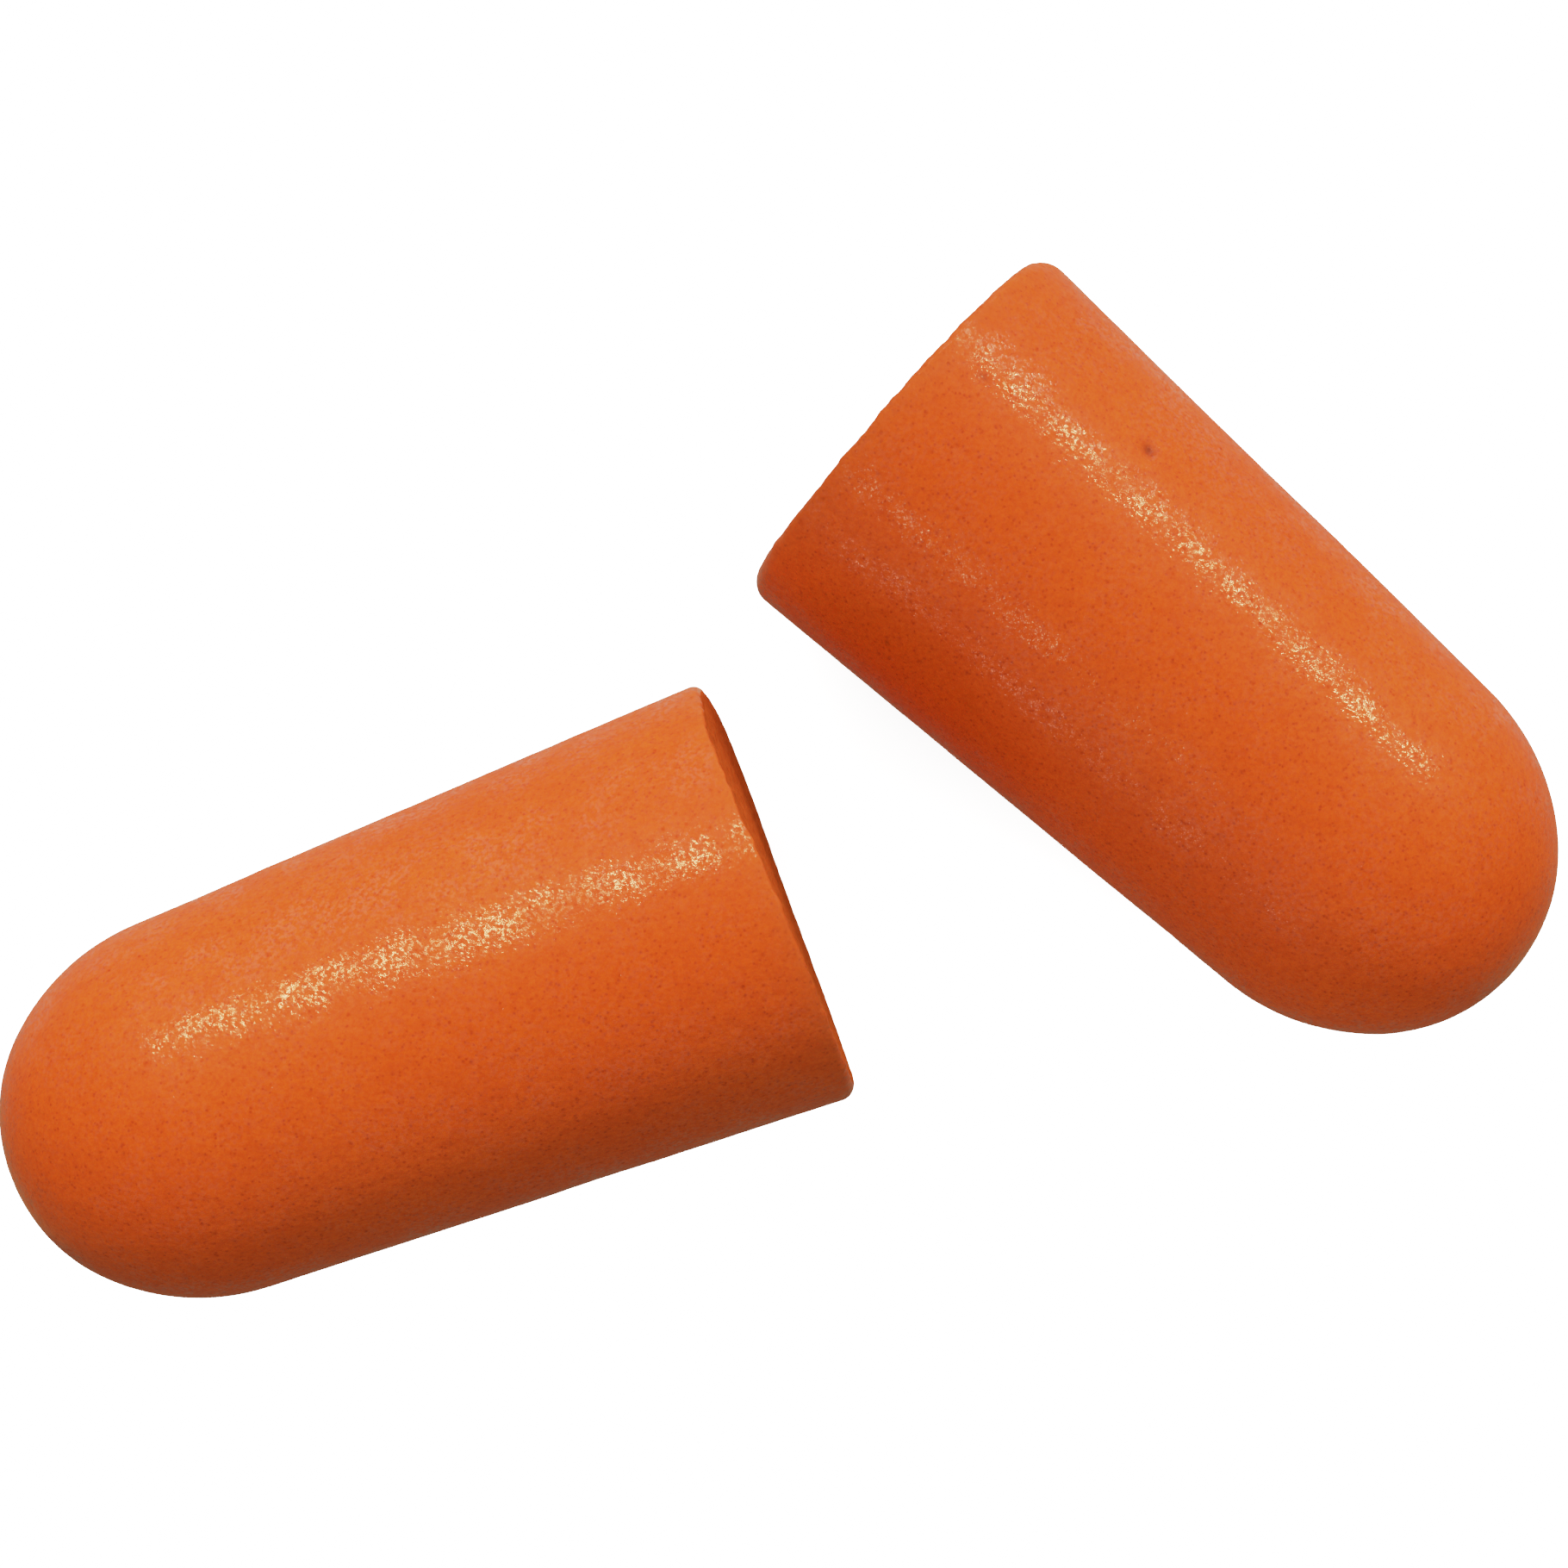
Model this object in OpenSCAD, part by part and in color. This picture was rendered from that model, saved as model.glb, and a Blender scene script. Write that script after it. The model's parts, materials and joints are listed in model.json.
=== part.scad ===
// A pair of tapered, round-nosed foam ear plugs lying side by side.
// Each plug is one moulded piece of slow-recovery foam: a long, slightly
// tapered wall, a round nose that goes into the ear, and a flat cut end
// that is held between the fingers. Both lie on their tapered wall.
// Millimetres. Z = 0 is the surface they lie on, and the origin is the
// middle of the ground they cover.

/* [Plug] */
// Diameter of the flat end, the widest place
base_d = 13.0; // [12:0.1:14]
// Length from the flat end to the tip of the nose
length = 24.2; // [22:0.1:27]
// Slope of the wall against the plug's own axis, in degrees
taper = 2.5; // [1.5:0.1:3]
// Rounding of the edge between the wall and the flat end
rim_r = 0.6; // [0.2:0.05:1]

/* [Nose] */
// Tip radius, as a share of the largest ball that fits the nose
tip_share = 0.94; // [0.70:0.01:0.98]
// Radius where the wall curves into the nose, as a share of the same ball
shoulder_share = 1.20; // [1.05:0.01:1.60]

/* [Pair] */
// Size of the right plug against the left one
right_size = 1.015; // [0.98:0.005:1.03]
// Turn of the left plug: its nose points this far past -X, in degrees
left_turn = 20.4; // [15:0.1:30]
// Turn of the right plug: its nose points this far below +X, in degrees
right_turn = 42.0; // [35:0.1:50]
// From the left flat end to the right flat end, along X
spread_x = 3.35; // [2:0.05:8]
// From the left flat end to the right flat end, along Y
spread_y = 13.95; // [13.9:0.05:20]

/* [Colour] */
// Colour of the foam
foam_colour = [0.86, 0.36, 0.13];

/* [Hidden] */
$fn = 96;

base_r = base_d / 2;
// The largest ball that touches the wall and ends at the tip
ball_r = (base_r - tan(taper) * length) * cos(taper) / (1 - sin(taper));
tip_r = tip_share * ball_r;
shoulder_r = shoulder_share * ball_r;

lap = 0.0005;

// The outline is drawn with X as the radius and Y along the plug's axis.
// Centre of the tip's arc, on the axis
tip_y = length - tip_r;
// Centre of the shoulder's arc: shoulder_r inside the sloping wall, and
// shoulder_r - tip_r from the tip's centre, so all three meet smoothly
sh_0 = base_r - shoulder_r / cos(taper);
q_a = 1 + pow(tan(taper), 2);
q_b = -2 * (sh_0 * tan(taper) + tip_y);
q_c = pow(sh_0, 2) + pow(tip_y, 2) - pow(shoulder_r - tip_r, 2);
sh_y = (-q_b - sqrt(q_b * q_b - 4 * q_a * q_c)) / (2 * q_a);
sh_x = sh_0 - sh_y * tan(taper);
// Angle of the line from the shoulder's centre through the tip's centre
nose_a = atan2(tip_y - sh_y, -sh_x);
// Centre of the rim's arc
rim_x = base_r - rim_r * tan(taper) - rim_r / cos(taper);

// A point at angle a, in degrees, on an arc of radius r about c
function on_arc(c, r, a) = [c[0] + r * cos(a), c[1] + r * sin(a)];

// How far a plug reaches from the middle of its flat end, in a direction
// that is at angle a above the plane square to its axis
function reach(a) =
    a > nose_a ? tip_y * sin(a) + tip_r
    : a > taper ? sh_y * sin(a) + sh_x * cos(a) + shoulder_r
    : rim_r * sin(a) + rim_x * cos(a) + rim_r;

// The way a plug with this turn about Z points. It lies on its tapered
// wall, so its nose is lower than its flat end by the taper.
function nose_way(turn) = [cos(turn) * cos(taper), sin(turn) * cos(taper), -sin(taper)];
function reach_along(turn, size, way) = size * reach(asin(nose_way(turn) * way));

left_yaw = 180 + left_turn;
right_yaw = -right_turn;

// Ends of the pair along X and Y, counted from the left flat end
x_low = min(reach_along(left_yaw, 1, [-1, 0, 0]) * -1,
            spread_x - reach_along(right_yaw, right_size, [-1, 0, 0]));
x_high = max(reach_along(left_yaw, 1, [1, 0, 0]),
             spread_x + reach_along(right_yaw, right_size, [1, 0, 0]));
y_low = min(reach_along(left_yaw, 1, [0, -1, 0]) * -1,
            spread_y - reach_along(right_yaw, right_size, [0, -1, 0]));
y_high = max(reach_along(left_yaw, 1, [0, 1, 0]),
             spread_y + reach_along(right_yaw, right_size, [0, 1, 0]));
// Middles of the two flat ends, with the pair centred on the origin
left_at = [-(x_low + x_high) / 2, -(y_low + y_high) / 2];
right_at = left_at + [spread_x, spread_y];

// Half of the plug's outline: straight wall, rounded rim, shoulder and tip.
// Each arc stands lap proud of the one it runs into, so their edges cross
// cleanly where they would only graze each other.
module outline() {
    rim_c = [rim_x, rim_r];
    sh_c = [sh_x, sh_y];
    polygon([[0, 0], [rim_x, 0], on_arc(rim_c, rim_r, taper),
             on_arc(sh_c, shoulder_r, taper), [0, sh_y - sh_x * tan(taper)]]);
    // the rim's arc, kept level with the flat end
    intersection() {
        translate(rim_c) circle(rim_r + lap);
        square([2 * base_r, 3 * rim_r]);
    }
    // the shoulder's arc, kept between the wall and the tip
    intersection() {
        translate(sh_c) circle(shoulder_r + lap);
        polygon([[0, sh_y - sh_x * tan(taper) - base_r],
                 [2 * base_r, sh_y - base_r],
                 on_arc(sh_c, 2 * shoulder_r, taper),
                 on_arc(sh_c, 2 * shoulder_r, nose_a), [0, tip_y]]);
    }
    // the tip's arc
    intersection() {
        translate([0, tip_y]) circle(tip_r + 2 * lap);
        translate([0, tip_y - tip_r / 2]) square([2 * tip_r, 2 * tip_r]);
    }
}

// A plug standing on its flat end, nose up
module plug() {
    rotate_extrude() outline();
}

// A plug laid on its wall, with the middle of its flat end above [x, y]
module lying_plug(at, yaw, size) {
    translate([at[0], at[1], size * base_r * cos(taper)])
        rotate([0, 90 + taper, yaw])
            scale(size) plug();
}

module ear_plug_left() {
    color(foam_colour) lying_plug(left_at, left_yaw, 1);
}

module ear_plug_right() {
    color(foam_colour) lying_plug(right_at, right_yaw, right_size);
}

ear_plug_left();
ear_plug_right();
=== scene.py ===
import json
import math

import bpy
import numpy as np
from mathutils import Matrix, Vector


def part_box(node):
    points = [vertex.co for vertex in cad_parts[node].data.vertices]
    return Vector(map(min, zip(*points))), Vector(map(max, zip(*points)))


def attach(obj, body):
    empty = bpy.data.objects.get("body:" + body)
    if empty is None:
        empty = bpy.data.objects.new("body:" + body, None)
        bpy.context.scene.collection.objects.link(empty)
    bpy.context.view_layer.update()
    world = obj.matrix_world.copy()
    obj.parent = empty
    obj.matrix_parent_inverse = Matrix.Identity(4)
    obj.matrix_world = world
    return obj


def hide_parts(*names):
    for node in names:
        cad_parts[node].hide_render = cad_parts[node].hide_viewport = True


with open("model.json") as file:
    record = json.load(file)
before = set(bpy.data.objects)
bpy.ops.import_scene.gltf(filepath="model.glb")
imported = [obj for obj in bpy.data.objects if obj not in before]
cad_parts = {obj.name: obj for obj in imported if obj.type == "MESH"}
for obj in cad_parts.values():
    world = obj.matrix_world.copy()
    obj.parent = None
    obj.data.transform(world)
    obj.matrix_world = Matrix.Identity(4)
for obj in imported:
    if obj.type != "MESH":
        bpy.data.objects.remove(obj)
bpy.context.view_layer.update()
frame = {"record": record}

scene = bpy.context.scene
MM = 0.001

# ---------------------------------------------------------------- the plug
# Sizes in millimetres, as in the CAD model: one outline, turned about the
# plug's own axis. y runs from the flat end to the nose.
BASE_R = 6.5
LENGTH = 24.2
TAPER = math.radians(2.5)
BALL_R = (BASE_R - math.tan(TAPER) * LENGTH) * math.cos(TAPER) / (1 - math.sin(TAPER))
TIP_R = 0.94 * BALL_R
SH_R = 1.20 * BALL_R
TIP_Y = LENGTH - TIP_R
SH_0 = BASE_R - SH_R / math.cos(TAPER)
_a = 1 + math.tan(TAPER) ** 2
_b = -2 * (SH_0 * math.tan(TAPER) + TIP_Y)
_c = SH_0**2 + TIP_Y**2 - (SH_R - TIP_R) ** 2
SH_Y = (-_b - math.sqrt(_b * _b - 4 * _a * _c)) / (2 * _a)
SH_X = SH_0 - SH_Y * math.tan(TAPER)
NOSE_A = math.atan2(TIP_Y - SH_Y, -SH_X)

SIDE = 84            # the nose cap and the cut face are grids of this many quads a side
AROUND = 4 * SIDE    # so the wall has this many round it
CAP_A = math.radians(56)


def lattice(ix, iy, iz, seed):
    """A repeatable pseudo-random 32-bit number for each lattice point."""
    h = (ix * 374761393 + iy * 668265263 + iz * 2147483647 + seed * 974634777) & 0xFFFFFFFF
    h = ((h ^ (h >> 13)) * 1274126177) & 0xFFFFFFFF
    h = ((h ^ (h >> 16)) * 2246822519) & 0xFFFFFFFF
    return h ^ (h >> 15)


def noise(p, seed):
    """Smooth gradient noise at the points p, about -1 to 1, one bump to a unit."""
    i = np.floor(p).astype(np.int64)
    f = p - i
    w = f * f * f * (f * (f * 6 - 15) + 10)
    total = np.zeros(len(p))
    for dx in (0, 1):
        for dy in (0, 1):
            for dz in (0, 1):
                h = lattice(i[:, 0] + dx, i[:, 1] + dy, i[:, 2] + dz, seed)
                g = np.stack(
                    [(h & 1023) / 511.5 - 1, ((h >> 10) & 1023) / 511.5 - 1, ((h >> 20) & 1023) / 511.5 - 1], 1
                )
                d = f - (dx, dy, dz)
                k = (
                    (w[:, 0] if dx else 1 - w[:, 0])
                    * (w[:, 1] if dy else 1 - w[:, 1])
                    * (w[:, 2] if dz else 1 - w[:, 2])
                )
                total += k * (g * d).sum(1)
    return total * 1.5


def layers(p, seed, count=3, gain=0.5):
    total, amp, scale = 0.0, 1.0, 1.0
    for k in range(count):
        total = total + amp * noise(p * scale, seed + 17 * k)
        amp, scale = amp * gain, scale * 2.03
    return total


def smooth(x, a, b):
    t = np.clip((x - a) / (b - a), 0, 1)
    return t * t * (3 - 2 * t)


def hump(phi, at, wide):
    """A soft bump of height 1 round the plug at the angle at, in degrees."""
    d = (phi - math.radians(at) + math.pi) % (2 * math.pi) - math.pi
    return np.exp(-((d / math.radians(wide)) ** 2))


def rim_point(q, t):
    """Radius and y on the rim's rounding: t = 0 at the cut face, 1 at the wall."""
    cx = BASE_R - q * math.tan(TAPER) - q / math.cos(TAPER)
    ang = -math.pi / 2 + t * (math.pi / 2 + TAPER)
    return cx + q * np.cos(ang), q + q * np.sin(ang)


def build_rings():
    """The plan for the rings from the cut face's edge to the nose cap:
    (kind, parameter). The rings crowd towards the cut edge."""
    rings = [("rim", t) for t in np.linspace(0, 1, 15)]
    wall = 168
    x = np.linspace(0, 1, wall + 1)[1:]
    step = 0.42 * x + 0.58 * x**1.7
    rings += [("wall", v) for v in step]
    rings += [("shoulder", v) for v in np.linspace(0, 1, 45)[1:]]
    rings += [("tip", v) for v in np.linspace(0, 1, 15)[1:]]
    return rings


RINGS = build_rings()


def disc_grid():
    """Grid points of a square mapped smoothly onto the unit disc."""
    g = np.linspace(-1, 1, SIDE + 1)
    u, v = np.meshgrid(g, g, indexing="ij")
    x = u * np.sqrt(np.maximum(1 - v * v / 2, 0))
    y = v * np.sqrt(np.maximum(1 - u * u / 2, 0))
    # mostly even round the edge, so the wall's rings meet it without a step
    return x, y


def edge_loop():
    """Grid indices round the border of the disc grid, anticlockwise."""
    n = SIDE
    loop = [(i, 0) for i in range(n)]
    loop += [(n, j) for j in range(n)]
    loop += [(i, n) for i in range(n, 0, -1)]
    loop += [(0, j) for j in range(n, 0, -1)]
    return loop


def plug_mesh(name, size, seed, plan):
    """One plug in its own frame, in millimetres: x and y across, z from the flat
    end to the nose. The angle phi = 0 faces up where it lies and turns from x
    towards y. Returns the mesh and nothing else."""
    dx, dy = disc_grid()
    loop = edge_loop()
    phis = np.array([math.atan2(dy[i, j], dx[i, j]) for i, j in loop])
    ny = SIDE + 1

    faces = []

    # ------------------------------------------------ the wall's rings
    q = plan["rim"](phis)
    ring_start = []
    pts = []
    for what, t in RINGS:
        if what == "rim":
            r, y = rim_point(q, t)
            skin = np.full(len(phis), t)
        elif what == "wall":
            r1, y1 = rim_point(q, 1.0)
            r2 = SH_X + SH_R * math.cos(TAPER)
            y2 = SH_Y + SH_R * math.sin(TAPER)
            r, y = r1 + (r2 - r1) * t, y1 + (y2 - y1) * t
            skin = np.full(len(phis), 2.0)
        elif what == "shoulder":
            a = TAPER + (NOSE_A - TAPER) * t
            r = np.full(len(phis), SH_X + SH_R * math.cos(a))
            y = np.full(len(phis), SH_Y + SH_R * math.sin(a))
            skin = np.full(len(phis), 2.0)
        else:
            a = NOSE_A + (CAP_A - NOSE_A) * t
            r = np.full(len(phis), TIP_R * math.cos(a))
            y = np.full(len(phis), TIP_Y + TIP_R * math.sin(a))
            skin = np.full(len(phis), 2.0)
        ring_start.append(len(pts) * len(phis))
        pts.append(np.stack([r * np.cos(phis), r * np.sin(phis), y, skin], 1))
    wall = np.concatenate(pts)
    n_wall = len(wall)

    # ------------------------------------------------ the nose cap
    rho = np.hypot(dx, dy)
    ang = np.arctan2(dy, dx)
    pol = rho * (math.pi / 2 - CAP_A)
    cap = np.stack(
        [TIP_R * np.sin(pol) * np.cos(ang), TIP_R * np.sin(pol) * np.sin(ang), TIP_Y + TIP_R * np.cos(pol), pol * 0 + 2], -1
    )
    # ------------------------------------------------ the cut face
    q_in = plan["rim"](ang)
    edge_r = BASE_R - q_in * math.tan(TAPER) - q_in / math.cos(TAPER)
    rr = rho**0.8 * edge_r
    face = np.stack([rr * np.cos(ang), rr * np.sin(ang), rho * 0, rho * 0], -1)

    border = {ij: k for k, ij in enumerate(loop)}
    cap_id = np.zeros((ny, ny), int)
    face_id = np.zeros((ny, ny), int)
    extra = []
    last = ring_start[-1]
    for i in range(ny):
        for j in range(ny):
            if (i, j) in border:
                cap_id[i, j] = last + border[(i, j)]
                face_id[i, j] = border[(i, j)]
            else:
                cap_id[i, j] = n_wall + len(extra)
                extra.append(cap[i, j])
                face_id[i, j] = n_wall + len(extra)
                extra.append(face[i, j])
    P = np.concatenate([wall, np.array(extra)])
    co, skin = P[:, :3].copy(), P[:, 3]

    k = np.arange(AROUND)
    k2 = (k + 1) % AROUND
    for a, b in zip(ring_start[:-1], ring_start[1:]):
        faces.append(np.stack([a + k, a + k2, b + k2, b + k], 1))
    i, j = np.meshgrid(np.arange(SIDE), np.arange(SIDE), indexing="ij")
    i, j = i.ravel(), j.ravel()
    faces.append(np.stack([cap_id[i, j], cap_id[i + 1, j], cap_id[i + 1, j + 1], cap_id[i, j + 1]], 1))
    faces.append(np.stack([face_id[i, j], face_id[i, j + 1], face_id[i + 1, j + 1], face_id[i + 1, j]], 1))
    quads = np.concatenate(faces)

    # ------------------------------------------------ the smooth form's normals
    def normals(co):
        a, b, c, d = (co[quads[:, m]] for m in range(4))
        fn = np.cross(c - a, d - b)
        vn = np.zeros_like(co)
        for m in range(4):
            np.add.at(vn, quads[:, m], fn)
        return vn / np.maximum(np.linalg.norm(vn, axis=1, keepdims=True), 1e-12)

    n0 = normals(co)
    phi = np.arctan2(co[:, 1], co[:, 0])
    rad = np.hypot(co[:, 0], co[:, 1])
    y = co[:, 2]
    off = np.array([seed * 31.7, seed * 11.3, seed * 7.9])
    on_skin = smooth(skin, 0.55, 1.1)         # 1 on the moulded skin, 0 on the cut
    on_cut = 1 - smooth(skin, 0.05, 0.75)
    resting = np.clip(-n0[:, 0], 0, 1)

    # soft, slightly uneven form of squeezable foam, less where it rests
    d = plan["form"] * (0.60 * noise(co / 9.0 + off, seed) + 0.40 * noise(co / 4.3 + off, seed + 3))
    # moulded skin: shallow orange peel
    peel = layers(co / 1.05 + off, seed + 5, 3, 0.55)
    d += 0.0075 * peel * on_skin * (0.6 + 0.8 * smooth(noise(co / 5.0 + off, seed + 7), -0.3, 0.6))
    co = co + n0 * (d * (1 - 0.75 * smooth(resting, 0.86, 0.99)))[:, None]

    # shallow pits where bubbles met the mould
    rng = np.random.default_rng(seed)
    mark = np.zeros(len(co))
    sink = np.zeros(len(co))
    for _ in range(plan["pits"]):
        py = rng.uniform(1.0, LENGTH - 0.2)
        pphi = rng.uniform(-math.pi, math.pi)
        pr = rng.uniform(0.16, 0.42)
        depth = rng.uniform(0.006, 0.022) * pr / 0.3
        stretch = rng.uniform(0.8, 1.3)
        if py > TIP_Y:
            pol = rng.uniform(0.05, math.pi / 2)
            c = np.array([TIP_R * math.sin(pol) * math.cos(pphi), TIP_R * math.sin(pol) * math.sin(pphi), TIP_Y + TIP_R * math.cos(pol)])
        else:
            r = BASE_R - py * math.tan(TAPER)
            c = np.array([r * math.cos(pphi), r * math.sin(pphi), py])
        e = co - c
        near = np.einsum("ij,ij->i", e, e) < (3 * pr) ** 2
        e = e[near]
        dist = np.sqrt(e[:, 0] ** 2 + e[:, 1] ** 2 + (e[:, 2] * stretch) ** 2)
        fall = np.exp(-((dist / (0.62 * pr)) ** 2))
        sink[near] += depth * fall
        mark[near] = np.maximum(mark[near], 0.10 * fall)
    for py, deg, pr, along, depth, dark in plan["marks"]:
        r = BASE_R - py * math.tan(TAPER)
        a = math.radians(deg)
        c = np.array([r * math.cos(a), r * math.sin(a), py])
        side = np.array([-math.sin(a), math.cos(a), 0.0])
        e = co - c
        near = np.einsum("ij,ij->i", e, e) < (6 * pr * max(1, along)) ** 2
        e = e[near]
        dist = np.sqrt((e @ side) ** 2 + (e[:, 2] / along) ** 2)
        fall = np.exp(-((dist / pr) ** 2))
        sink[near] += depth * fall
        mark[near] = np.maximum(mark[near], dark * fall)
    co = co - n0 * (sink * on_skin)[:, None]

    # ------------------------------------------------ the cut end
    # the edge is trimmed unevenly: cut back in places, with a torn, stepped lip
    in_from = np.where(skin < 1.5, 0.0, np.maximum(y - plan["rim"](phi), 0))
    edge = np.exp(-in_from / 0.9)
    seen_side = 0.12 + 0.88 * smooth(np.cos(phi), -0.15, 0.35)
    ring = np.stack([np.cos(phi) * BASE_R, np.sin(phi) * BASE_R, np.zeros(len(phi))], 1)
    rag = 0.50 * noise(ring / 0.95 + off, seed + 21) + 0.45 * noise(ring / 0.45 + off, seed + 22)
    rag = rag + 0.45 * noise(ring / 0.27 + off, seed + 24)
    rag = rag + 0.55 * np.maximum(noise(ring / 0.60 + off, seed + 23) - 0.25, 0)
    cut_back = plan["back"](phi)
    at_rim = smooth(rad / BASE_R, 0.90, 0.985)
    co[:, 2] += smooth(rad / BASE_R, 0.35, 0.97) * edge * cut_back
    co[:, 2] += at_rim * plan["rag"] * seen_side * rag * np.exp(-in_from / 0.28)
    # the cut face is dished a little and full of small opened cells
    dish = plan["dish"] * (1 - smooth(rad, 0.62 * BASE_R, 0.985 * BASE_R))
    cells = layers(co / 0.62 + off, seed + 31, 2, 0.6)
    co[:, 2] += on_cut * (dish + plan["cells"] * (1 - 0.8 * smooth(rad / BASE_R, 0.90, 0.97)) * (cells + 0.8 * np.maximum(noise(co / 0.33 + off, seed + 33), 0)))

    me = bpy.data.meshes.new(name)
    me.from_pydata((co * size * MM).tolist(), [], quads.tolist())
    me.validate()
    me.update()
    me.shade_smooth()
    is_cut = skin[quads].mean(1) < 0.22
    me.polygons.foreach_set("material_index", is_cut.astype(np.int32))
    for label, values in (("cut", on_cut), ("mark", np.clip(mark, 0, 1)), ("edge", np.exp(-np.maximum(y, 0) / 0.45) * (1 - on_cut))):
        at = me.attributes.new(label, "FLOAT", "POINT")
        at.data.foreach_set("value", values.astype(np.float32))
    return me


def lying(mount, z_up=Vector((0, 0, 1))):
    """The matrix from a plug's own frame to the row frame: the record's flat-end
    mount gives the middle of the flat end and the way it faces."""
    at = Vector(mount["pos_m"])
    nose = -Vector(mount["axis"]).normalized()
    up = (z_up - nose * z_up.dot(nose)).normalized()
    side = nose.cross(up)          # right-handed: up, side, nose
    m = Matrix((up, side, nose)).transposed().to_4x4()
    m.translation = at
    return m


mounts = {m["name"]: m for m in frame["record"]["mounts"]}


def across(node):
    """How wide a CAD plug is at its flat end, from the height of its box."""
    lo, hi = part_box(node)
    return hi.z - lo.z


ratio = across("ear_plug_right") / across("ear_plug_left")

PLUGS = {
    "left": dict(
        node="ear_plug_left", body="left_plug", slot="foam_left", mount="left_flat_end", size=1.0, seed=11, grit=0.0000088,
        plan=dict(
            rim=lambda f: 0.09 + 0.38 * hump(f, -92, 30) + 0.33 * hump(f, 95, 26) + 0.15 * hump(f, 180, 60),
            back=lambda f: 0.31 * hump(f, 42, 46) - 0.07 * hump(f, 135, 40),
            form=0.05, pits=36, rag=0.085, dish=0.10, cells=0.035,
            marks=[(12.3, 49.9, 0.06, 1.0, 0.02, 1.0)],
        ),
    ),
    "right": dict(
        node="ear_plug_right", body="right_plug", slot="foam_right", mount="right_flat_end", size=ratio, seed=29, grit=0.0000125,
        plan=dict(
            rim=lambda f: 0.14 + 0.64 * hump(f, -90, 34) + 0.54 * hump(f, 90, 34) + 0.2 * hump(f, 180, 60),
            back=lambda f: -0.10 * hump(f, -10, 45),
            form=0.05, pits=36, rag=0.060, dish=0.10, cells=0.035,
            marks=[(6.22, -34.4, 0.22, 1.0, 0.07, 1.0), (1.41, -15.6, 0.10, 2.0, 0.02, 0.70), (4.33, 58.4, 0.06, 1.0, 0.02, 1.0), (1.07, 20.3, 0.04, 4.0, 0.01, 0.7)],
        ),
    ),
}


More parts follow.
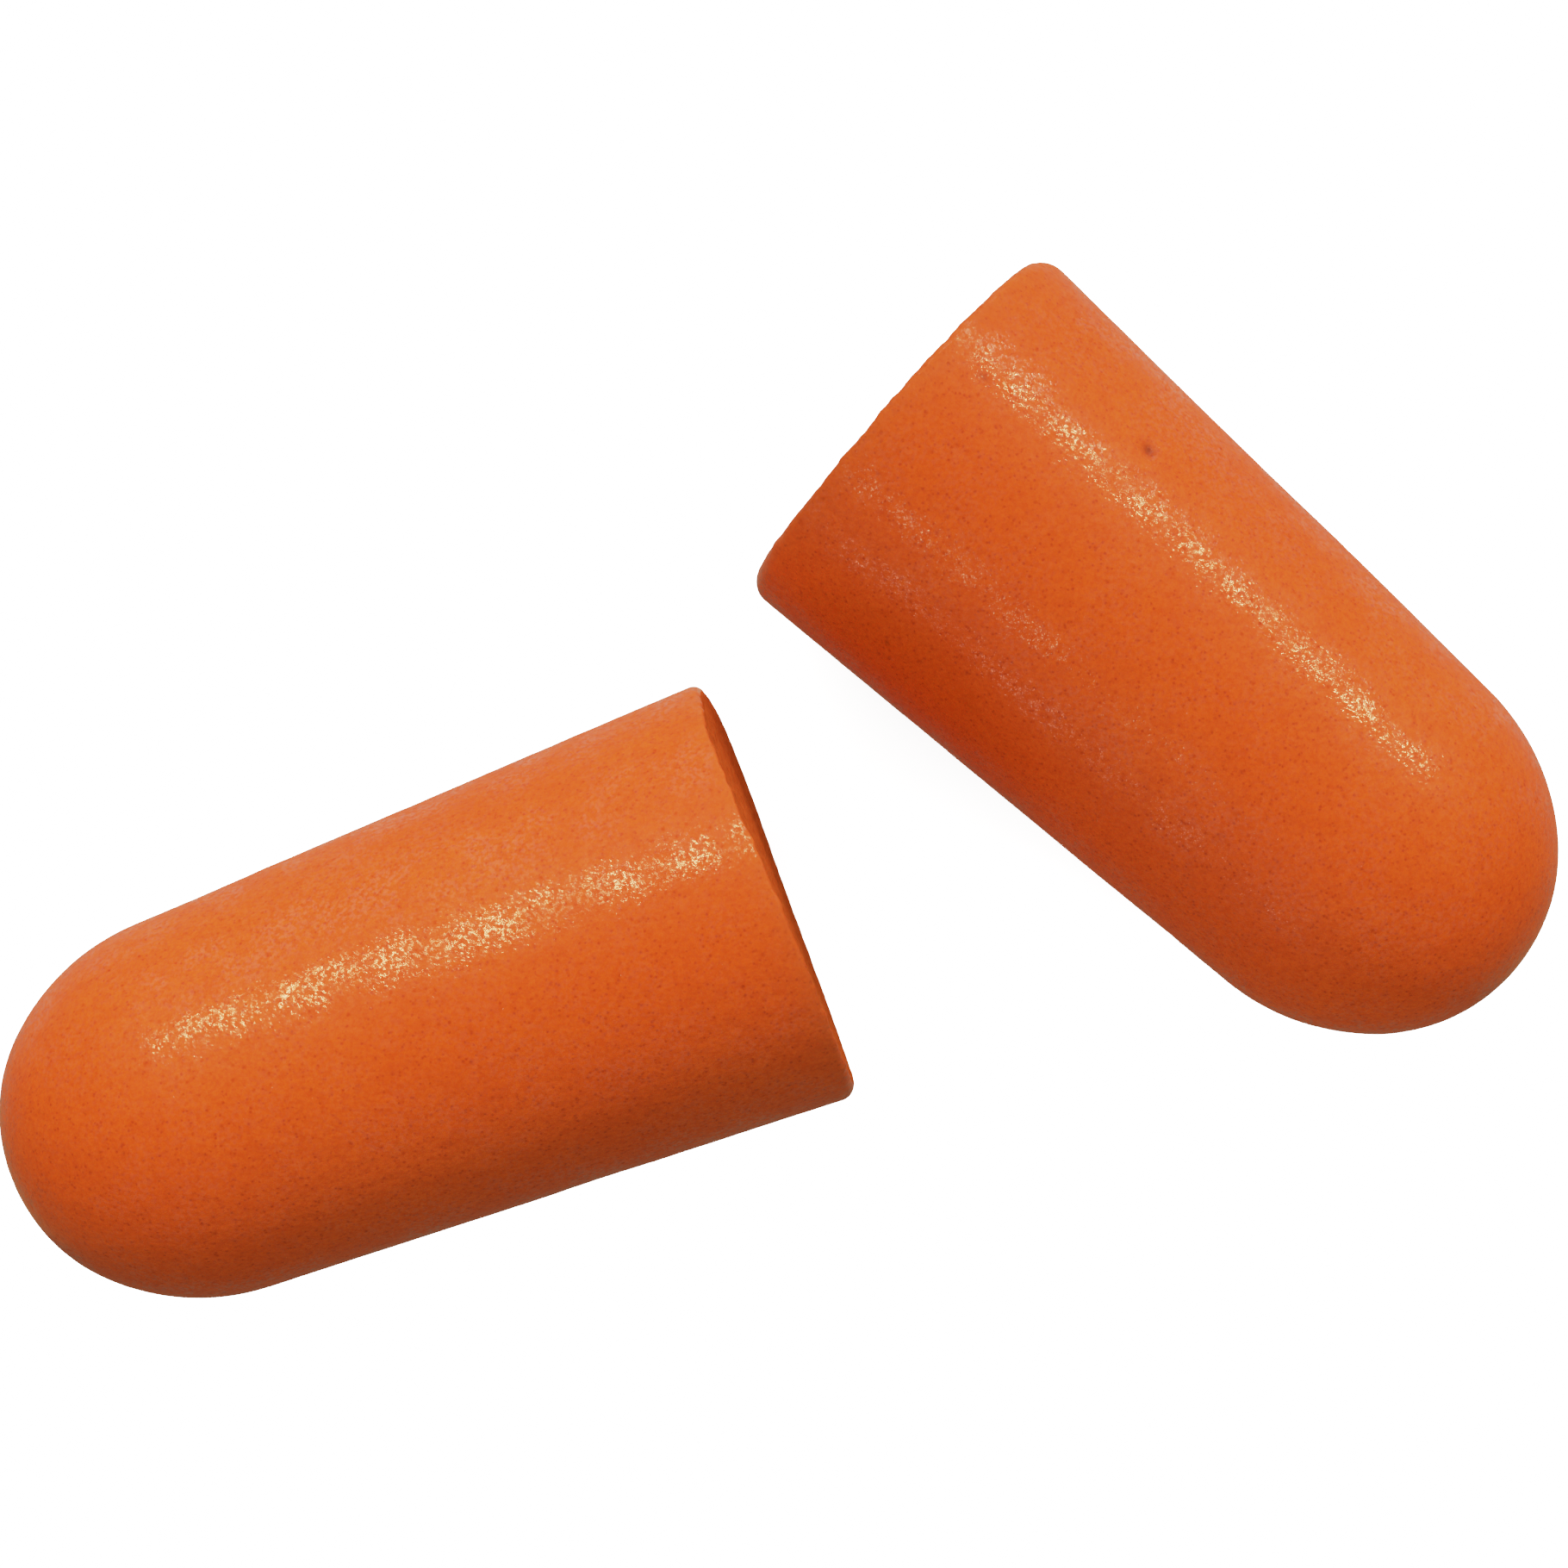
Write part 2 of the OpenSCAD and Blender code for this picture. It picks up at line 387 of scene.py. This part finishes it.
# ---------------------------------------------------------------- the foam
def foam(name, tint, grit, skin=True):
    mat = bpy.data.materials.new(name)
    mat.use_nodes = True
    nt = mat.node_tree
    nt.nodes.clear()
    N, L = nt.nodes.new, nt.links.new

    def math_(op, a, b=None, c=None, clamp=False):
        n = N("ShaderNodeMath")
        n.operation = op
        n.use_clamp = clamp
        for s, v in zip(n.inputs, (a, b, c)):
            if v is None:
                continue
            if isinstance(v, (int, float)):
                s.default_value = v
            else:
                L(v, s)
        return n.outputs[0]

    def remap(v, a, b, lo=0.0, hi=1.0):
        n = N("ShaderNodeMapRange")
        n.interpolation_type = "SMOOTHSTEP"
        L(v, n.inputs["Value"])
        for key, value in (("From Min", a), ("From Max", b), ("To Min", lo), ("To Max", hi)):
            n.inputs[key].default_value = value
        return n.outputs["Result"]

    def mix(f, a, b):
        n = N("ShaderNodeMix")
        n.data_type = "RGBA"
        if isinstance(f, (int, float)):
            n.inputs[0].default_value = f
        else:
            L(f, n.inputs[0])
        for s, v in ((n.inputs[6], a), (n.inputs[7], b)):
            if isinstance(v, tuple):
                s.default_value = (*v, 1.0)
            else:
                L(v, s)
        return n.outputs[2]

    def tex(kind, scale, detail=2.0, rough=0.5, seed=0.0, **more):
        n = N(kind)
        for key, value in more.items():
            setattr(n, key, value)
        if kind == "ShaderNodeTexNoise":
            n.inputs["Detail"].default_value = detail
            n.inputs["Roughness"].default_value = rough
        n.inputs["Scale"].default_value = scale
        m = N("ShaderNodeVectorMath")
        m.operation = "ADD"
        L(mm, m.inputs[0])
        m.inputs[1].default_value = (seed, seed * 0.7, -seed * 1.3)
        L(m.outputs[0], n.inputs["Vector"])
        return n

    co = N("ShaderNodeTexCoord")
    scale = N("ShaderNodeVectorMath")
    scale.operation = "SCALE"
    L(co.outputs["Object"], scale.inputs[0])
    scale.inputs["Scale"].default_value = 1000.0
    mm = scale.outputs[0]

    def attr(label):
        n = N("ShaderNodeAttribute")
        n.attribute_name = label
        return n.outputs["Fac"]

    mark, edge = attr("mark"), attr("edge")

    # colour: one dye, a little uneven over the plug, darker in the pores
    cloud = tex("ShaderNodeTexNoise", 0.16, 3, 0.55, seed=3).outputs["Fac"]
    mottle = tex("ShaderNodeTexNoise", 1.3, 3, 0.6, seed=9).outputs["Fac"]
    speck = tex("ShaderNodeTexNoise", 4.2, 2, 0.6, seed=15).outputs["Fac"]
    body = mix(remap(cloud, 0.3, 0.7), tint["deep"], tint["pale"])
    body = mix(remap(mottle, 0.35, 0.7, 0.0, 0.22), body, tint["dark"])
    body = mix(remap(speck, 0.42, 0.68, 0.0, 0.42), body, tint["dark"])
    dust = tex("ShaderNodeTexNoise", 8.5, 1, 0.5, seed=19).outputs["Fac"]
    body = mix(remap(dust, 0.40, 0.66, 0.0, 0.42), body, tint["dark"])

    pores = tex("ShaderNodeTexVoronoi", 3.1, seed=21, feature="F1")
    pick = N("ShaderNodeSeparateColor")
    L(pores.outputs["Color"], pick.inputs[0])
    crowd = tex("ShaderNodeTexNoise", 0.35, 2, 0.5, seed=27).outputs["Fac"]
    chosen = remap(math_("SUBTRACT", pick.outputs[0], crowd), 0.02, 0.10)
    deep = math_("MULTIPLY", remap(pores.outputs["Distance"], 0.02, 0.30, 1.0, 0.0), chosen)
    small = tex("ShaderNodeTexVoronoi", 6.0, seed=33, feature="F1")
    tiny = math_("MULTIPLY", remap(small.outputs["Distance"], 0.05, 0.42, 1.0, 0.0), remap(speck, 0.40, 0.58))
    body = mix(math_("MULTIPLY", deep, 0.50), body, tint["pore"])
    body = mix(math_("MULTIPLY", tiny, 0.60), body, tint["pore"])
    body = mix(math_("MULTIPLY", edge, 0.42), body, tint["worn"])
    # the cut face's colour: the darker cell colour is painted shade in the hollows of the open cells, and it also
    # mottles the face at random
    open_cells = tex("ShaderNodeTexVoronoi", 3.2, seed=41, feature="F1")
    cut_colour_with_cell_shade = mix(remap(open_cells.outputs["Distance"], 0.15, 0.55), tint["cell_hollow_shade_and_mottle"], tint["cut"])
    cut_colour_with_cell_shade = mix(remap(mottle, 0.35, 0.7, 0.0, 0.35), cut_colour_with_cell_shade, tint["cell_hollow_shade_and_mottle"])
    body = mix(math_("MULTIPLY", mark, 0.95), body, tint["mark"]) if skin else cut_colour_with_cell_shade

    # relief too fine for the mesh: grain of the skin, pores, open cells
    grain = tex("ShaderNodeTexNoise", 5.2, 2, 0.55, seed=51).outputs["Fac"]
    peel = tex("ShaderNodeTexNoise", 2.1, 2, 0.5, seed=57).outputs["Fac"]
    height = math_("MULTIPLY", grain, 0.55)
    height = math_("ADD", height, math_("MULTIPLY", peel, 0.9))
    height = math_("SUBTRACT", height, math_("MULTIPLY", deep, 0.14))
    height = math_("SUBTRACT", height, math_("MULTIPLY", tiny, 0.10))
    if not skin:
        height = math_("ADD", math_("MULTIPLY", open_cells.outputs["Distance"], 1.6), grain)
    bump = N("ShaderNodeBump")
    bump.inputs["Strength"].default_value = 1.0
    bump.inputs["Distance"].default_value = 0.000021
    L(height, bump.inputs["Height"])

    # the skin's finest grain breaks the gloss into small glints
    fine = tex("ShaderNodeTexNoise", 9.0, 1, 0.5, seed=71).outputs["Fac"]
    glint = N("ShaderNodeBump")
    glint.inputs["Strength"].default_value = 1.0
    glint.inputs["Distance"].default_value = grit
    grains = tex("ShaderNodeTexVoronoi", 3.2, seed=83, feature="F1")
    pick2 = N("ShaderNodeSeparateColor")
    L(grains.outputs["Color"], pick2.inputs[0])
    stray = math_("MULTIPLY", remap(grains.outputs["Distance"], 0.03, 0.16, 1.0, 0.0), remap(pick2.outputs[1], 0.58, 0.64))
    shine = math_("ADD", fine, math_("MULTIPLY", peel, 0.8))
    L(math_("ADD", shine, math_("MULTIPLY", stray, 1.8)), glint.inputs["Height"])

    gloss = tex("ShaderNodeTexNoise", 2.9, 2, 0.6, seed=63).outputs["Fac"]
    rough = remap(gloss, 0.35, 0.65, 0.44, 0.58)
    rough = math_("ADD", rough, math_("MULTIPLY", edge, 0.20))
    rough = math_("ADD", rough, math_("MULTIPLY", deep, 0.25), clamp=True)
    if not skin:
        rough = remap(gloss, 0.35, 0.65, 0.90, 1.0)

    p = N("ShaderNodeBsdfPrincipled")
    L(body, p.inputs["Base Color"])
    L(rough, p.inputs["Roughness"])
    L(bump.outputs["Normal"], p.inputs["Normal"])
    p.inputs["IOR"].default_value = 1.5
    p.inputs["Specular IOR Level"].default_value = 0.20 if skin else 0.0
    p.inputs["Subsurface Weight"].default_value = 0.12
    p.inputs["Subsurface Radius"].default_value = (1.0, 0.28, 0.10)
    p.inputs["Subsurface Scale"].default_value = 0.0009
    p.inputs["Sheen Weight"].default_value = 0.20 if skin else 0.0
    p.inputs["Sheen Roughness"].default_value = 0.35
    p.inputs["Sheen Tint"].default_value = (1.0, 0.80, 0.58, 1.0)
    if skin:
        # the gloss comes and goes from place to place
        patch = remap(tex("ShaderNodeTexNoise", 0.7, 2, 0.5, seed=91).outputs["Fac"], 0.38, 0.62, 0.22, 1.0)
        flakes = remap(tex("ShaderNodeTexNoise", 7.5, 1, 0.5, seed=97).outputs["Fac"], 0.44, 0.60, 0.04, 0.84)
        L(math_("MULTIPLY", patch, flakes), p.inputs["Coat Weight"])
    p.inputs["Coat Roughness"].default_value = 0.14
    L(glint.outputs["Normal"], p.inputs["Coat Normal"])
    out = N("ShaderNodeOutputMaterial")
    L(p.outputs[0], out.inputs["Surface"])
    return mat


# cell is the cut face's darker colour: painted shade in the hollows of its open cells, and also its random darker
# mottling
TINT = dict(
    deep=(0.866, 0.110, 0.0086), pale=(0.888, 0.126, 0.0112), dark=(0.700, 0.074, 0.0060), pore=(0.420, 0.036, 0.0040),
    worn=(0.660, 0.150, 0.0360), cut=(0.820, 0.150, 0.0320), cell_hollow_shade_and_mottle=(0.690, 0.118, 0.0240), mark=(0.250, 0.030, 0.0050),
)

objects = {}
for side, spec in PLUGS.items():
    me = plug_mesh("foam_plug_" + side, spec["size"], spec["seed"], spec["plan"])
    ob = bpy.data.objects.new("foam_plug_" + side, me)
    scene.collection.objects.link(ob)
    me.transform(lying(mounts[spec["mount"]]))
    # nothing reaches below what the plug lies on
    co = np.empty(len(me.vertices) * 3, np.float32)
    me.vertices.foreach_get("co", co)
    co = co.reshape(-1, 3)
    low = co[:, 2] < 0.00002
    co[low, 2] = 0.00002 - 0.3 * np.minimum(0.00002 - co[low, 2], 0.00005)
    me.vertices.foreach_set("co", co.ravel())
    me.update()
    me.materials.append(foam("foam_skin_" + side, TINT, spec["grit"]))
    me.materials.append(foam("foam_cut_" + side, TINT, spec["grit"], skin=False))
    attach(ob, spec["body"])
    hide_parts(spec["node"])
    objects[side] = ob

# ---------------------------------------------------------------- the studio
def paper(name):
    mat = bpy.data.materials.new(name)
    mat.use_nodes = True
    p = mat.node_tree.nodes["Principled BSDF"]
    p.inputs["Base Color"].default_value = (0.92, 0.92, 0.915, 1.0)
    p.inputs["Roughness"].default_value = 0.95
    p.inputs["Specular IOR Level"].default_value = 0.0
    return mat


floor_me = bpy.data.meshes.new("studio_floor")
half = 3.0
floor_me.from_pydata([(-half, -half, 0), (half, -half, 0), (half, half, 0), (-half, half, 0)], [], [(0, 1, 2, 3)])
floor_me.update()
floor = bpy.data.objects.new("studio_floor", floor_me)
scene.collection.objects.link(floor)
floor_me.materials.append(paper("studio_paper"))
floor.visible_diffuse = False
floor.visible_glossy = False
floor.visible_transmission = False

world = bpy.data.worlds.new("studio_world")
world.use_nodes = True
scene.world = world
wn = world.node_tree
wn.nodes.clear()
geo = wn.nodes.new("ShaderNodeTexCoord")
sep = wn.nodes.new("ShaderNodeSeparateXYZ")
wn.links.new(geo.outputs["Generated"], sep.inputs[0])
ramp = wn.nodes.new("ShaderNodeMapRange")
ramp.interpolation_type = "SMOOTHSTEP"
wn.links.new(sep.outputs["Z"], ramp.inputs["Value"])
ramp.inputs["From Min"].default_value = -0.25
ramp.inputs["From Max"].default_value = 0.30
glow = wn.nodes.new("ShaderNodeMix")
glow.data_type = "RGBA"
rear = wn.nodes.new("ShaderNodeMapRange")
rear.interpolation_type = "SMOOTHSTEP"
wn.links.new(sep.outputs["Y"], rear.inputs["Value"])
rear.inputs["From Min"].default_value = -0.10
rear.inputs["From Max"].default_value = 0.55
table_glow = wn.nodes.new("ShaderNodeMix")
table_glow.data_type = "RGBA"
table_glow.inputs[6].default_value = (0.156, 0.132, 0.086, 1.0)
table_glow.inputs[7].default_value = (0.62, 0.56, 0.45, 1.0)
wn.links.new(rear.outputs["Result"], table_glow.inputs[0])
wn.links.new(table_glow.outputs[2], glow.inputs[6])
glow.inputs[7].default_value = (0.44, 0.40, 0.32, 1.0)
wn.links.new(ramp.outputs["Result"], glow.inputs[0])
bg = wn.nodes.new("ShaderNodeBackground")
wn.links.new(glow.outputs[2], bg.inputs["Color"])
sweep = wn.nodes.new("ShaderNodeBackground")
sweep.inputs["Color"].default_value = (1.0, 1.0, 1.0, 1.0)
sweep.inputs["Strength"].default_value = 6.0
ray = wn.nodes.new("ShaderNodeLightPath")
shown = wn.nodes.new("ShaderNodeMixShader")
wn.links.new(ray.outputs["Is Camera Ray"], shown.inputs[0])
wn.links.new(bg.outputs[0], shown.inputs[1])
wn.links.new(sweep.outputs[0], shown.inputs[2])
wo = wn.nodes.new("ShaderNodeOutputWorld")
wn.links.new(shown.outputs[0], wo.inputs["Surface"])

on_plugs = bpy.data.collections.new("lit_by_key")
for ob in objects.values():
    on_plugs.objects.link(ob)
on_floor = bpy.data.collections.new("lit_by_sky")
on_floor.objects.link(floor)
on_right = bpy.data.collections.new("lit_by_kicker")
on_right.objects.link(objects["right"])


def area(name, at, towards, size, power, colour, only):
    lamp = bpy.data.lights.new(name, "AREA")
    lamp.shape = "RECTANGLE"
    lamp.size, lamp.size_y = size
    lamp.energy = power
    lamp.color = colour
    ob = bpy.data.objects.new(name, lamp)
    scene.collection.objects.link(ob)
    ob.location = at
    ob.rotation_mode = "QUATERNION"
    ob.rotation_quaternion = (Vector(at) - Vector(towards)).to_track_quat("Z", "Y")
    ob.light_linking.receiver_collection = only
    ob.visible_camera = False
    return ob


# the camera's own axes, from its elevation over the table
ELEV = math.radians(84.0)
BACK = Vector((0.0, -math.cos(ELEV), math.sin(ELEV)))
UP = Vector((0.0, math.sin(ELEV), math.cos(ELEV)))
RIGHT = Vector((1.0, 0.0, 0.0))


def seen(x, y, z):
    """A direction given across, up and towards the camera."""
    return (RIGHT * x + UP * y + BACK * z).normalized()


middle = Vector((0.0, 0.0, 0.006))
# a long window: from over the left plug round to the back right
one, two = seen(-0.2336, 0.6132, 0.7548), seen(0.5855, 0.6609, 0.4696)
centre = ((one + two) / 2).normalized()
along = (two - one).normalized()
FAR = 0.9
key = area("window", middle + centre * FAR, middle, (0.95, 0.10), 4.4, (1.0, 0.88, 0.66), on_plugs)
zax = centre
xax = (along - zax * along.dot(zax)).normalized()
yax = zax.cross(xax)
key.rotation_quaternion = Matrix((xax, yax, zax)).transposed().to_quaternion()

# a thin bright tube near each plug, seen only by that plug: its reflection is
# the broken line of glints along the skin
eye_at = Vector((0.084, -0.152, 6.0)) * MM + BACK * 0.170
TUBE_AT = 0.15


def mirrored(side, y, degrees, far=TUBE_AT):
    """Where a lamp stands to be mirrored in the wall at y mm from the flat end,
    that many degrees round from the top towards +Y."""
    spec = PLUGS[side]
    m = lying(mounts[spec["mount"]])
    turn = math.radians(degrees if side == "left" else -degrees)
    r = (BASE_R - y * math.tan(TAPER)) * spec["size"] * MM
    normal = m.to_3x3() @ Vector((math.cos(turn) * math.cos(TAPER), math.sin(turn) * math.cos(TAPER), math.sin(TAPER)))
    at = m @ Vector((r * math.cos(turn), r * math.sin(turn), y * spec["size"] * MM))
    v = (eye_at - at).normalized()
    return at, at + (2 * normal.dot(v) * normal - v) * far


def tube(name, side, start, end, power, colour, only, away=TUBE_AT, wide=0.006):
    (p0, a), (p1, b) = mirrored(side, *start, away), mirrored(side, *end, away)
    lamp = area(name, (a + b) / 2, (p0 + p1) / 2, ((b - a).length, wide), power, colour, only)
    z = ((a + b) / 2 - (p0 + p1) / 2).normalized()
    x = (b - a).normalized()
    x = (x - z * x.dot(z)).normalized()
    lamp.rotation_quaternion = Matrix((x, z.cross(x), z)).transposed().to_quaternion()
    return lamp


on_left = bpy.data.collections.new("lit_by_left_tube")
on_left.objects.link(objects["left"])
tube("tube_left", "left", (-1.0, 7.2), (19.0, 20.8), 0.120, (1.0, 0.82, 0.44), on_left)
tube("tube_right", "right", (1.2, 18.2), (19.0, 21.6), 0.085, (1.0, 0.82, 0.44), on_right)
tube("streak_right", "right", (2.4, -41.8), (10.4, -40.0), 0.0085, (1.0, 0.46, 0.30), on_right, 0.15, 0.0025)
tube("spark_right", "right", (1.6, -26.4), (3.0, -24.0), 0.005, (1.0, 0.82, 0.50), on_right, 0.10, 0.003)
fill = area("fill_right", middle + seen(-0.62, -0.62, 0.48) * 0.6, middle, (0.5, 0.5), 0.40, (1.0, 0.84, 0.66), on_right)
fill.visible_glossy = False
haze = area("haze", middle + seen(0.0, 0.96, 0.20) * 0.9, middle, (1.3, 0.7), 3.2, (1.0, 0.92, 0.78), on_plugs)

# the floor has its own light, wide and even right out to the horizon
sky_lamp = bpy.data.lights.new("sky", "SUN")
sky_lamp.energy = 36.0
sky_lamp.angle = math.radians(120)
sky = bpy.data.objects.new("sky", sky_lamp)
scene.collection.objects.link(sky)
sky.light_linking.receiver_collection = on_floor
sky.visible_camera = False

# ---------------------------------------------------------------- the camera
cam = bpy.data.cameras.new("camera")
cam.sensor_width = 36.0
cam.lens = 170.0 / 0.0255 / 1820 * 36.0
cam.clip_start, cam.clip_end = 0.01, 20.0
eye = bpy.data.objects.new("camera", cam)
scene.collection.objects.link(eye)
target = Vector((0.084, -0.152, 6.0)) * MM
eye.location = target + BACK * 0.170
eye.rotation_mode = "QUATERNION"
eye.rotation_quaternion = Matrix((RIGHT, UP, BACK)).transposed().to_quaternion()
scene.camera = eye

# how the film takes light: straight in the shadows, a long soft shoulder
scene.view_settings.view_transform = "Standard"
scene.view_settings.look = "None"
scene.view_settings.use_curve_mapping = True
cm = scene.view_settings.curve_mapping
cm.extend = "HORIZONTAL"
TOP = 4.5
cm.use_clip = False
curve = cm.curves[3]
SHOULDER = [(0.0, 0.0), (0.2, 0.2), (0.35, 0.34), (0.54, 0.49), (0.70, 0.584), (0.98, 0.686), (1.35, 0.745), (2.0, 0.84), (3.0, 0.93), (4.5, 1.0)]
cm.white_level = (TOP, TOP, TOP)
curve.points[0].location = (0.0, 0.0)
curve.points[1].location = (1.0, 1.0)
for x, v in SHOULDER[1:-1]:
    curve.points.new(x / TOP, v)
cm.update()
